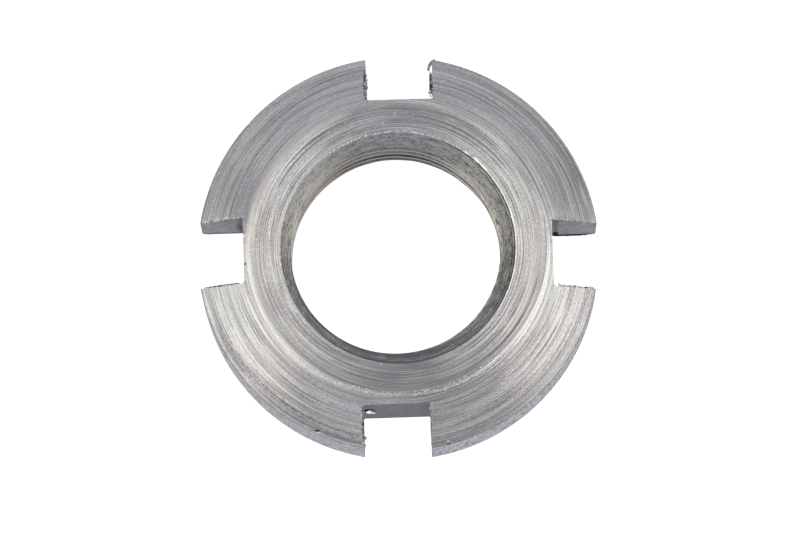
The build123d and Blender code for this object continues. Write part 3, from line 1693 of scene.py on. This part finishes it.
@dataclass(frozen=True)
class TurnedSteel:
    """Bright steel with the fine concentric lines of a lathe tool."""

    name: str = "turned_steel"
    bright: Colour = (0.78, 0.775, 0.765)
    dull: Colour = (0.47, 0.455, 0.46)
    # Colour of the score lines, also laid as painted shade in the dim sectors.
    line: Colour = (0.15, 0.12, 0.12)
    glint: Colour = (0.97, 0.93, 0.90)
    # Burnished wear and painted highlight, for the band along the seat's edge and its sparkles.
    burnish_and_highlight: Colour = (0.93, 0.90, 0.85)
    rough: float = 0.35
    rough_swing: float = 0.05
    anisotropy: float = 0.93
    depth: float = 0.006 * MM
    bands: Streaks = Streaks(0.5, 2.8, 2.0)
    fine: Streaks = Streaks(1.2, 17.0, 1.0)
    scores: Streaks = Streaks(0.9, 25.0, 1.0)
    glints: Streaks = Streaks(1.1, 22.0)
    gaps: Streaks = Streaks(3.0, 2.2, 1.0)
    ticks: Streaks = Streaks(60.0, 18.0)
    grain: Streaks = Streaks(60.0, 16.0, 1.0)
    sparks: Noise = Noise(24.0 / MM)
    tone_shares: tuple[float, ...] = (0.5, 0.65, 0.75, 0.03)
    tone_range: Span = (0.76, 1.10)
    score_range: Span = (0.555, 0.60)
    score_gaps: Span = (0.34, 0.48)
    score_share: float = 0.68
    glint_range: Span = (0.58, 0.64)
    glint_gaps: Span = (0.62, 0.48)
    glint_share: float = 0.6
    tick_range: Span = (0.50, 0.60)
    spark_range: Span = (0.55, 0.62)
    rough_range: Span = (0.3, 0.7)
    relief: tuple[float, ...] = (0.4, 1.5, -0.8, 0.6, 2.5)
    rim_shade: Shade = Shade(270, 63, 96, 5.62, 6.08, 0.1, 0.2)
    tick_shade: Shade = Shade(232, 26, 40, 5.40, 6.08, 0.12, 0.32)
    # Band along the seat's edge, lighter to the west: burnished wear and painted highlight.
    edge_wear_and_highlight: Shade = Shade(180, 41, 104, 2.56, 2.92, 0.12, 0.5)
    sparkle_shade: Shade = Shade(236, 15, 32, 2.66, 2.84, 0.04, 0.7)
    outer_seat: Band = (1.9, 2.6, 0.2)
    outer_seat_tone: float = -0.10
    cone_start: Span = (2.85 * MM, 3.15 * MM)
    # Painted shade where the amount is positive and painted light where it is negative, sector by
    # sector round the turned faces.
    shades: tuple[Shade, ...] = (
        Shade(270, 0, 53, 1.0, 3.0, 0.12, 0.26),
        Shade(180, 0, 53, 1.0, 3.0, 0.12, 0.12),
        Shade(90, 60, 90, 3.0, 7.0, 0.12, 0.07),
        Shade(65, 10, 40, 1.9, 2.6, 0.2, 0.08),
        Shade(150, 15, 38, 1.9, 2.6, 0.2, -0.13),
        Shade(20, 20, 50, 1.0, 1.9, 0.15, -0.08),
        Shade(150, 8, 25, 1.0, 1.9, 0.15, -0.08),
        Shade(195, 5, 20, 1.0, 1.9, 0.15, -0.08),
        Shade(68, 10, 30, 2.55, 2.95, 0.1, -0.12),
        Shade(12, 8, 20, 3.0, 7.0, 0.1, 0.12),
        Shade(315, 8, 20, 3.0, 7.0, 0.1, 0.10),
        Shade(52, 8, 22, 1.9, 2.6, 0.2, -0.14),
        Shade(108, 10, 25, 1.0, 2.6, 0.15, 0.09),
        Shade(270, 5, 18, 1.0, 2.6, 0.15, 0.08),
        Shade(315, 6, 16, 1.9, 2.6, 0.15, -0.08),
        Shade(292, 8, 20, 2.55, 2.95, 0.1, -0.25),
        Shade(30, 10, 22, 2.55, 2.95, 0.1, -0.05),
        Shade(155, 18, 30, 2.55, 2.95, 0.1, 0.17),
        Shade(338, 12, 28, 1.9, 2.6, 0.2, 0.12),
        Shade(0, 10, 20, 1.0, 1.9, 0.15, 0.06),
        Shade(225, 8, 20, 2.95, 7.0, 0.1, 0.13),
        Shade(204, 10, 22, 5.2, 7.0, 0.1, -0.12),
        Shade(165, 8, 18, 2.95, 7.0, 0.1, 0.13),
        Shade(45, 25, 40, 2.95, 7.0, 0.1, 0.05),
    )
    # Painted shade: sectors blended toward the line colour.
    painted_dim_shades: tuple[Shade, ...] = (
        Shade(270, 6, 16, 1.0, 1.9, 0.15, 0.20),
        Shade(291, 12, 24, 2.95, 7.0, 0.1, 0.20),
    )
    spots: tuple[Spot, ...] = (
        Spot((-3.88, -7.97, 2.80), (0.14, 0.06, 0.1), (0.05, 0.025, 0.018), 0.95, 0.6, 0.5),
        Spot((0.06, 6.09, 4.0), (0.03, 0.10, 0.1), (0.95, 0.94, 0.92), 0.8, 0.5, 0.6),
        Spot((-0.50, 5.65, 4.0), (0.03, 0.09, 0.1), (0.95, 0.94, 0.92), 0.8, 0.5, 0.6),
        Spot((-0.92, -5.25, 4.0), (0.05, 0.05, 0.1), (0.95, 0.94, 0.92), 0.7, 0.5, 0.6),
        Spot((-6.86, -0.51, 3.95), (0.08, 0.05, 0.2), (0.12, 0.12, 0.13), 0.9, 0.5, 0.6),
        Spot((1.96, -8.66, 2.78), (0.05, 0.05, 0.1), (0.10, 0.08, 0.08), 0.8, 0.5, 0.6),
    )

    def tone(self, rings: RingSpace, bands: Socket) -> Socket:
        """Work out the lightness of the bare metal, with painted shade and painted light in some
        sectors.

        Args:
            rings: The material's measures.
            bands: Socket of the broad rings.

        Returns:
            The socket, about 0.76 for dull metal and 1.1 for bright.
        """
        fine, grain = rings.streaks(self.fine), rings.streaks(self.grain)
        cone = rings.graph.remap(rings.along, *self.cone_start)
        parts = list(zip((bands, fine, grain, cone), self.tone_shares))
        parts.append((rings.band(*self.outer_seat), self.outer_seat_tone))
        # The shades add painted shade and painted light by sector; the rim shade darkens the band
        # by the rim.
        return rings.graph.mixture(*parts, *weighed(rings, (*self.shades, self.rim_shade), -1))

    def material(self) -> bpy.types.Material:
        """Build the finish.

        Returns:
            The material.
        """
        graph = NodeGraph(self.name)
        rings = RingSpace(graph)
        bands = rings.streaks(self.bands)
        tone = self.tone(rings, bands)
        colour = graph.blend(graph.remap(tone, *self.tone_range), self.dull, self.bright)

        gaps = rings.streaks(self.gaps)
        scores = graph.remap(rings.streaks(self.scores), *self.score_range)
        scores = graph.product(scores, graph.remap(gaps, *self.score_gaps), self.score_share)
        glints = graph.remap(rings.streaks(self.glints), *self.glint_range)
        glints = graph.product(glints, graph.remap(gaps, *self.glint_gaps), self.glint_share)
        ticks = graph.remap(rings.streaks(self.ticks), *self.tick_range)
        ticks = graph.product(ticks, self.tick_shade.mask(rings), self.tick_shade.amount)
        colour = graph.blend(glints, colour, self.glint)
        # Score lines and ticks, with painted shade in the dim sectors.
        dark = graph.mixture((scores, 1.0), (ticks, 1.0), *weighed(rings, self.painted_dim_shades))
        colour = graph.blend(dark, colour, self.line)

        # Painted highlight: bright sparkle dots and the band along the seat's edge, with its
        # burnished wear.
        sparkle = graph.remap(graph.noise(rings.place, self.sparks), *self.spark_range)
        sparkle = graph.product(sparkle, self.sparkle_shade.mask(rings), self.sparkle_shade.amount)
        worn = graph.mixture((sparkle, 1.0), *weighed(rings, (self.edge_wear_and_highlight,)))
        colour = graph.blend(worn, colour, self.burnish_and_highlight)
        for spot in self.spots:
            colour = spot.lay(graph, rings.place, colour)
        rough_span = self.rough - self.rough_swing, self.rough + self.rough_swing
        rough = graph.remap(bands, *self.rough_range, *rough_span)
        height = graph.mixture(*zip((bands, tone, scores, glints, sparkle), self.relief))
        shader = graph.metal(colour, rough, graph.bump(height, self.depth))
        rings.along_grooves(shader, self.anisotropy)
        return graph.material


@dataclass(frozen=True)
class DrawnSteel:
    """The greyer skin of the drawn bar, left on the rim."""

    name: str = "drawn_steel"
    light: Colour = (0.445, 0.45, 0.48)
    dark: Colour = (0.12, 0.12, 0.13)
    edge: Colour = (0.10, 0.07, 0.06)
    plain: Colour = (0.40, 0.40, 0.42)
    plain_share: float = 0.5
    slant_gain: float = 2.2
    rough: float = 0.45
    depth: float = 0.006 * MM
    speckle: Noise = Noise(6.0 / MM, 3.0, 0.65)
    speckle_range: Span = (0.32, 0.62)
    specks: Noise = Noise(7.0 / MM)
    specks_range: Span = (0.66, 0.74)
    specks_share: float = 0.8
    worn: Streaks = Streaks(7.0, 2.0, 3.0)
    worn_range: Span = (0.46, 0.64)
    worn_share: float = 0.25
    worn_band: Band = (6.12, 6.30, 0.03)
    worn_sectors: tuple[Sector, ...] = ((-78, 2, 5), (-118, 2, 6), (-60, 1, 9))
    worn_sector_share: float = 0.6

    def material(self) -> bpy.types.Material:
        """Build the finish.

        Returns:
            The material.
        """
        graph = NodeGraph(self.name)
        rings = RingSpace(graph)
        speckle = graph.noise(rings.place, self.speckle)
        colour = graph.blend(graph.remap(speckle, *self.speckle_range), self.dark, self.light)
        specks = graph.noise(rings.place, self.specks)
        specks = graph.remap(specks, *self.specks_range, 0.0, self.specks_share)
        colour = graph.blend(specks, colour, self.edge)
        sectors = [(rings.toward(*sector), self.worn_sector_share) for sector in self.worn_sectors]
        places = graph.mixture((1.0, self.worn_share), *sectors)
        worn = graph.remap(rings.streaks(self.worn), *self.worn_range)
        worn = graph.product(worn, rings.band(*self.worn_band), places)
        colour = graph.blend(worn, colour, self.edge)
        height = graph.mixture((speckle, 1.0), (specks, -1.0))
        ahead = graph.blend(self.plain_share, colour, self.plain)
        shader = graph.metal(ahead, self.rough, graph.bump(height, self.depth))
        graph.tint_slants(shader, colour, self.slant_gain)
        return graph.material


@dataclass(frozen=True)
class MilledSteel:
    """Greyer steel of the slot walls, with short marks of the cutter and painted shade at the
    walls' foot and on the slot floors.
    """

    name: str = "milled_steel"
    light: Colour = (0.225, 0.222, 0.236)
    dark: Colour = (0.135, 0.134, 0.142)
    # Colour of the painted shade at the walls' foot and on the slot floors.
    shade: Colour = (0.045, 0.043, 0.049)
    plain: Colour = (0.42, 0.415, 0.43)
    plain_share: float = 0.4
    slant_gain: float = 3.15
    rough: float = 0.42
    depth: float = 0.006 * MM
    marks: Noise = Noise(4.0 / MM, 4.0, 0.65)
    marks_range: Span = (0.35, 0.65)
    # Painted shade: darker towards the bottom of the walls, and on the slot floors inside
    # floor_radius.
    foot_shade_span: Span = (0.10 * MM, 0.40 * MM)
    foot_shade_share: float = 0.85
    floor_radius: float = 7.28 * MM
    floor_soft: float = 0.04 * MM
    floor_shade_share: float = 0.42
    spots: tuple[Spot, ...] = (
        # Painted shadow in the pit's hollow, dark brown.
        Spot((-1.60, -6.93, 2.10), (0.24, 0.07, 0.60), (0.045, 0.020, 0.013), 0.97, 0.3, 0.3),
        # Painted highlight on the pit's lower lip.
        Spot((-1.45, -6.98, 1.50), (0.22, 0.10, 0.17), (1.0, 1.0, 1.0), 1.0, 0.3, 0.25),
        Spot((7.12, 1.08, 0.5), (0.14, 0.2, 0.4), (0.06, 0.035, 0.025), 0.85, 0.8, 0.6),
        Spot((-7.12, 1.66, 1.4), (0.12, 0.2, 1.1), (0.06, 0.056, 0.06), 0.45, 0.8, 1.0),
    )

    def material(self) -> bpy.types.Material:
        """Build the finish.

        Returns:
            The material.
        """
        graph = NodeGraph(self.name)
        rings = RingSpace(graph)
        marks = graph.noise(rings.place, self.marks)
        colour = graph.blend(graph.remap(marks, *self.marks_range), self.dark, self.light)
        # Painted shade at the foot of the walls and on the slot floors.
        foot = graph.remap(rings.z, *self.foot_shade_span, self.foot_shade_share, 0.0)
        floor_edge = self.floor_radius - self.floor_soft, self.floor_radius + self.floor_soft
        inner = graph.remap(rings.radius, *floor_edge, self.floor_shade_share, 0.0)
        colour = graph.blend(graph.compute("MAXIMUM", foot, inner), colour, self.shade)
        ahead = graph.blend(self.plain_share, colour, self.plain)
        for spot in self.spots:
            colour = spot.lay(graph, rings.place, colour)
            ahead = spot.lay(graph, rings.place, ahead)
        shader = graph.metal(ahead, self.rough, graph.bump(marks, self.depth))
        graph.tint_slants(shader, colour, self.slant_gain)
        return graph.material


@dataclass(frozen=True)
class BoreSteel:
    """Smooth darker steel of the thread and its mouth, with a little rust."""

    name: str = "bore_steel"
    light: Colour = (0.66, 0.645, 0.65)
    dark: Colour = (0.30, 0.285, 0.295)
    olive: Colour = (0.62, 0.61, 0.54)
    dark_olive: Colour = (0.20, 0.19, 0.165)
    # Colour of the painted highlight lines along the mouth's inner edge.
    highlight_cream: Colour = (0.80, 0.77, 0.70)
    # Colour of the grime in the thread, also laid as painted shade on the lit crests.
    grime_and_shade: Colour = (0.09, 0.078, 0.072)
    brown: Colour = (0.075, 0.048, 0.038)
    rough: float = 0.34
    anisotropy: float = 0.8
    depth: float = 0.006 * MM
    lean: float = 2.0
    marks: Streaks = Streaks(3.0, 9.0, 2.0)
    hairs: Streaks = Streaks(14.0, 16.0, 1.0)
    hair_range: Span = (0.38, 0.52)
    grain: Noise = Noise(13.0 / MM, 1.0)
    tone_shares: tuple[float, ...] = (0.6, 0.8, 0.9)
    tone_range: Span = (0.90, 1.30)
    specks: Noise = Noise(16.0 / MM)
    speck_range: Span = (0.66, 0.73)
    speck_share: float = 0.4
    root_edge: Span = (-0.005 * MM, 0.04 * MM)
    thread_edge: Span = (0.01 * MM, 0.07 * MM)
    # Shares of grime and painted shade on the crests and in the roots, and in the upper thread.
    crest_grime_and_shade: float = 0.72
    groove_grime_and_shade: float = -0.10
    even_from: Span = (1.45 * MM, 1.75 * MM)
    even_grime_and_shade: Pair = (0.10, -0.38)
    # Sectors with less grime and painted shade, so lighter.
    lighter_sectors: tuple[Sector, ...] = ((35, 14, 38), (176, 10, 24), (0, 10, 30))
    lighter_share: float = 0.6
    # Painted shadow of a thread groove: a dark brown band at one height round the bore.
    groove_shadow_line: Band = (1.30, 1.58, 0.06)
    groove_shadow_range: Span = (0.30, 0.55)
    groove_shadow_share: float = 0.8
    warm_shades: tuple[Shade, ...] = (
        Shade(18, 25, 60, 5.0, 10.0, 0.1, 0.9),
        Shade(150, 20, 50, 5.0, 10.0, 0.1, 0.8),
    )
    # Painted shade where the amount is positive and painted light where it is negative, by sector
    # round the mouth and thread.
    painted_shading_sectors: tuple[Shade, ...] = (
        Shade(270, 20, 120, 5.0, 10.0, 0.1, 0.26),
        Shade(150, 12, 38, 5.0, 10.0, 0.1, -0.13),
        Shade(18, 20, 50, 5.0, 10.0, 0.1, -0.04),
    )
    # Painted highlight: light lines along the inner edge of the mouth.
    inner_highlight_lines: tuple[Shade, ...] = (
        Shade(5, 42, 66, 5.80, 5.95, 0.03, 0.75),
        Shade(170, 22, 48, 6.02, 6.18, 0.03, 0.6),
        Shade(270, 30, 50, 5.94, 6.01, 0.02, 0.5),
    )
    edge_lines: tuple[Shade, ...] = (
        Shade(270, 25, 50, 6.42, 6.49, 0.016, 0.6),
        Shade(8, 45, 62, 6.45, 6.49, 0.016, 0.9),
        Shade(0, 32, 48, 6.33, 6.37, 0.016, 0.8),
        Shade(175, 20, 40, 6.46, 6.49, 0.012, 0.5),
    )
    spots: tuple[Spot, ...] = (
        Spot((2.45, -4.42, 3.78), (0.08, 0.08, 0.08), (0.30, 0.16, 0.07), 0.75, 1.6, 1.6),
        Spot((3.10, -3.90, 3.74), (0.07, 0.07, 0.07), (0.26, 0.17, 0.10), 0.6, 1.6, 1.6),
        Spot((3.27, -3.74, 3.74), (0.07, 0.07, 0.07), (0.26, 0.18, 0.11), 0.6, 1.6, 1.6),
        Spot((3.56, -3.60, 3.80), (0.03, 0.03, 0.03), (0.9, 0.9, 0.9), 1.0, 0.4, 0.6),
    )

    def material(self) -> bpy.types.Material:
        """Build the finish.

        Returns:
            The material.
        """
        graph = NodeGraph(self.name)
        rings = RingSpace(graph, self.lean)
        marks, hairs = rings.streaks(self.marks), rings.streaks(self.hairs)
        grain = graph.noise(rings.place, self.grain)
        parts = zip((marks, grain, hairs), self.tone_shares)
        # The tone takes painted shade and painted light by sector.
        tone = graph.mixture(*parts, *weighed(rings, self.painted_shading_sectors, -1))
        light = graph.remap(tone, *self.tone_range)
        warm = graph.mixture(*weighed(rings, self.warm_shades))
        olive = graph.blend(light, self.dark_olive, self.olive)
        colour = graph.blend(warm, graph.blend(light, self.dark, self.light), olive)
        # Painted highlight lines along the mouth's inner edge, broken up by the hairs.
        inner = graph.mixture(*weighed(rings, self.inner_highlight_lines))
        inner = graph.product(inner, graph.remap(hairs, *self.hair_range))
        colour = graph.blend(inner, colour, self.highlight_cream)
        # Grime and painted shade in the thread.
        colour = graph.blend(self.grime_and_shade_share(rings), colour, self.grime_and_shade)
        # Painted groove shadow, broken up by the marks; brown specks and the mouth's edge lines are
        # added to it next.
        dirt_and_shadow = graph.remap(marks, *self.groove_shadow_range)
        dirt_and_shadow = graph.product(rings.stretch(rings.z, *self.groove_shadow_line), dirt_and_shadow)
        specks = graph.remap(graph.noise(rings.place, self.specks), *self.speck_range)
        specks = graph.product(specks, warm)
        lines = weighed(rings, self.edge_lines)
        dirt_and_shadow = graph.mixture((dirt_and_shadow, self.groove_shadow_share), (specks, self.speck_share), *lines)
        colour = graph.blend(dirt_and_shadow, colour, self.brown)
        for spot in self.spots:
            colour = spot.lay(graph, rings.place, colour)
        shader = graph.metal(colour, self.rough, graph.bump(tone, self.depth))
        rings.along_grooves(shader, self.anisotropy)
        return graph.material

    def grime_and_shade_share(self, rings: RingSpace) -> Socket:
        """Lay grime and painted shade in the thread, more on the crests than in the roots, but not
        on the mouth above it.

        Args:
            rings: The material's measures.

        Returns:
            Socket of the share of grime and painted shade, from 0 to 1.
        """
        graph, sizes = rings.graph, NutSizes()
        bore = rings.radius_about(sizes.bore_centre_x)
        roots = graph.remap(bore, *(sizes.bore_radius + edge for edge in self.root_edge))
        below = graph.mixture((rings.radius, 1.0), (rings.z, -1.0))
        mouth = sizes.mouth_radius - sizes.thickness
        threaded = graph.remap(below, *(mouth + edge for edge in self.thread_edge))
        upper = graph.remap(rings.z, *self.even_from)
        crest, groove = self.even_grime_and_shade
        grime_and_shade_amount = graph.mixture(
            (1.0, self.crest_grime_and_shade),
            (roots, self.groove_grime_and_shade),
            (upper, crest),
            (graph.product(roots, upper), groove),
        )
        sectors = [(rings.toward(*sector), self.lighter_share) for sector in self.lighter_sectors]
        left = graph.remap(graph.mixture(*sectors), 0.0, 1.0, 1.0, 0.0)
        return graph.product(threaded, grime_and_shade_amount, left)


@dataclass(frozen=True)
class BrightBurr:
    """Freshly torn bright metal."""

    name: str = "bright_burr"
    bright: Colour = (0.95, 0.94, 0.91)
    rough: float = 0.4
    dull_share: float = 0.6
    marks: Noise = Noise(9.0 / MM, 2.0)
    marks_range: Span = (0.35, 0.6)
    depth: float = 0.003 * MM

    def material(self) -> bpy.types.Material:
        """Build the finish.

        Returns:
            The material.
        """
        graph = NodeGraph(self.name)
        place, _ = graph.position()
        marks = graph.noise(place, self.marks)
        dull = tuple(self.dull_share * channel for channel in self.bright)
        colour = graph.blend(graph.remap(marks, *self.marks_range), dull, self.bright)
        graph.metal(colour, self.rough, graph.bump(marks, self.depth))
        return graph.material


DULL_BEAD_STEEL = BrightBurr("dull_bead_steel", (0.52, 0.515, 0.51), 0.5, 0.35)
SPUR_STEEL = BrightBurr("spur_steel", (0.44, 0.45, 0.48), 0.4, 0.35)
MOUTH_BURR_STEEL = BrightBurr("mouth_burr_steel", (1.0, 0.985, 0.955), 0.4, 0.9)
DULL_BURR_STEEL = BrightBurr("dull_burr_steel", (0.68, 0.68, 0.67), 0.45, 0.5)
FLECK_STEEL = BrightBurr("fleck_steel", (1.0, 0.98, 0.93), 0.4, 0.7)


@dataclass(frozen=True)
class TornSteel:
    """Dark rough metal of the folds that lean over the slots."""

    name: str = "torn_steel"
    light: Colour = (0.38, 0.37, 0.38)
    dark: Colour = (0.05, 0.045, 0.045)
    rough: float = 0.5
    marks: Noise = Noise(5.0 / MM, 3.0, 0.6)
    marks_range: Span = (0.44, 0.64)
    depth: float = 0.01 * MM

    def material(self) -> bpy.types.Material:
        """Build the finish.

        Returns:
            The material.
        """
        graph = NodeGraph(self.name)
        place, _ = graph.position()
        marks = graph.noise(place, self.marks)
        colour = graph.blend(graph.remap(marks, *self.marks_range), self.dark, self.light)
        graph.metal(colour, self.rough, graph.bump(marks, self.depth))
        return graph.material


@dataclass(frozen=True)
class SoftBox:
    """A rectangular studio light that looks at the nut."""

    name: str
    azimuth: float
    elevation: float
    distance: float
    width: float
    height: float
    power: float
    colour: Colour = (1.0, 1.0, 1.0)

    def build(self, target: Vector) -> bpy.types.Object:
        """Build the light.

        Args:
            target: The point that it looks at.

        Returns:
            The light's object.
        """
        lamp = bpy.data.lights.new(self.name, "AREA")
        lamp.shape = "RECTANGLE"
        lamp.size, lamp.size_y = self.width, self.height
        lamp.energy = self.power
        lamp.color = self.colour
        box = bpy.data.objects.new(self.name, lamp)
        azimuth, elevation = math.radians(self.azimuth), math.radians(self.elevation)
        level = math.cos(elevation)
        way = Vector((level * math.cos(azimuth), level * math.sin(azimuth), math.sin(elevation)))
        box.location = target + way * self.distance
        box.rotation_euler = way.to_track_quat("Z", "Y").to_euler()
        bpy.context.scene.collection.objects.link(box)
        return box


@dataclass
class Studio:
    """The pale floor, the soft lights and the camera."""

    aim: tuple[float, float, float] = (0.0534 * MM, -0.4886 * MM, 2.0 * MM)
    distance: float = 268.480 * MM
    tilt: float = math.radians(10.768)
    heading: float = math.radians(0.933)
    roll: float = math.radians(-2.794)
    lens: float = 268.975
    sensor_width: float = 36.0
    clip: Span = (0.01, 10.0)
    floor_size: float = 1.2
    floor_gap: float = 0.005 * MM
    floor_colour: Colour = (0.3, 0.3, 0.3)
    floor_rough: float = 0.9
    floor_glow: float = 1.0
    room_colour: Colour = (0.44, 0.445, 0.50)
    room_strength: float = 1.0
    boxes: tuple[SoftBox, ...] = (
        SoftBox("east_box", -9, 52, 1.0, 0.77, 0.45, 2.1, (1.0, 0.98, 0.88)),
        SoftBox("west_box", 190, 52, 1.0, 0.77, 0.45, 1.8, (1.0, 0.99, 0.87)),
        SoftBox("east_fill", 0, 72, 1.0, 0.45, 0.45, 0.5, (1.0, 1.0, 0.84)),
        SoftBox("west_fill", 180, 72, 1.0, 0.45, 0.45, 0.6, (1.0, 1.0, 0.84)),
    )

    def build_camera(self) -> None:
        """Set the camera at the photograph's viewing angle."""
        data = bpy.data.cameras.new("camera")
        data.lens = self.lens
        data.sensor_width = self.sensor_width
        data.clip_start, data.clip_end = self.clip
        camera = bpy.data.objects.new("camera", data)
        turn = Matrix.Rotation(self.heading, 4, "Z")
        lean = Matrix.Rotation(self.tilt, 4, "X")
        twist = Matrix.Rotation(self.roll, 4, "Z")
        back = Matrix.Translation((0, 0, self.distance))
        camera.matrix_world = Matrix.Translation(self.aim) @ turn @ lean @ twist @ back
        bpy.context.scene.collection.objects.link(camera)
        bpy.context.scene.camera = camera

    def build_floor(self) -> None:
        """Lay the pale floor under the nut."""
        half = self.floor_size / 2
        mesh = bpy.data.meshes.new("floor")
        plan = ((-half, -half), (half, -half), (half, half), (-half, half))
        mesh.from_pydata([(x, y, -self.floor_gap) for x, y in plan], [], [(0, 1, 2, 3)])
        floor = bpy.data.objects.new("floor", mesh)
        bpy.context.scene.collection.objects.link(floor)
        material = bpy.data.materials.new("floor")
        material.use_nodes = True
        shader = material.node_tree.nodes["Principled BSDF"]
        shader.inputs["Base Color"].default_value = (*self.floor_colour, 1.0)
        shader.inputs["Roughness"].default_value = self.floor_rough
        shader.inputs["Specular IOR Level"].default_value = 0.0
        shader.inputs["Emission Color"].default_value = (1.0, 1.0, 1.0, 1.0)
        shader.inputs["Emission Strength"].default_value = self.floor_glow
        mesh.materials.append(material)
        floor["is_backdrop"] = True

    def build_room(self) -> None:
        """Give the room round the nut its dim even tone."""
        world = bpy.data.worlds.new("room")
        world.use_nodes = True
        background = world.node_tree.nodes["Background"]
        background.inputs["Color"].default_value = (*self.room_colour, 1.0)
        background.inputs["Strength"].default_value = self.room_strength
        bpy.context.scene.world = world

    def build(self) -> None:
        """Build the whole studio and report it."""
        self.build_camera()
        self.build_floor()
        self.build_room()
        for box in self.boxes:
            box.build(Vector(self.aim))
        view = bpy.context.scene.view_settings
        view.view_transform = "Standard"
        view.look = "None"
        log.info("studio: camera, floor and %d lights", len(self.boxes))


def write_sizes() -> None:
    """Turn the solid's box and the dressed nut's box into plain lists of numbers."""
    boxes = {"cad": cad_box, "visual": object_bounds()}
    plain = {
        name: [[float(value) for value in corner] for corner in box]
        for name, box in boxes.items()
    }


def main() -> None:
    """Build the nut, dress it and light it, and report each piece."""
    logging.basicConfig(level=logging.INFO, format="%(name)s: %(message)s")
    sizes = NutSizes()
    nut = NutBody(sizes).build()
    for finish in (TurnedSteel(), MilledSteel(), BoreSteel(), DrawnSteel()):
        nut.data.materials.append(finish.material())
    nut.data.shade_smooth()
    nut.data.set_sharp_from_angle(angle=SHARP_ANGLE)
    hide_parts(NODE)
    pieces = [nut, *SlotBurrs(sizes).build(), *MouthBurr(sizes).build(), SeatFlecks(sizes).build()]
    for piece in pieces:
        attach(piece, BODY)
        log.info("%s: %d faces", piece.name, len(piece.data.polygons))
    Studio().build()
    write_sizes()


if __name__ == "__main__":
    main()
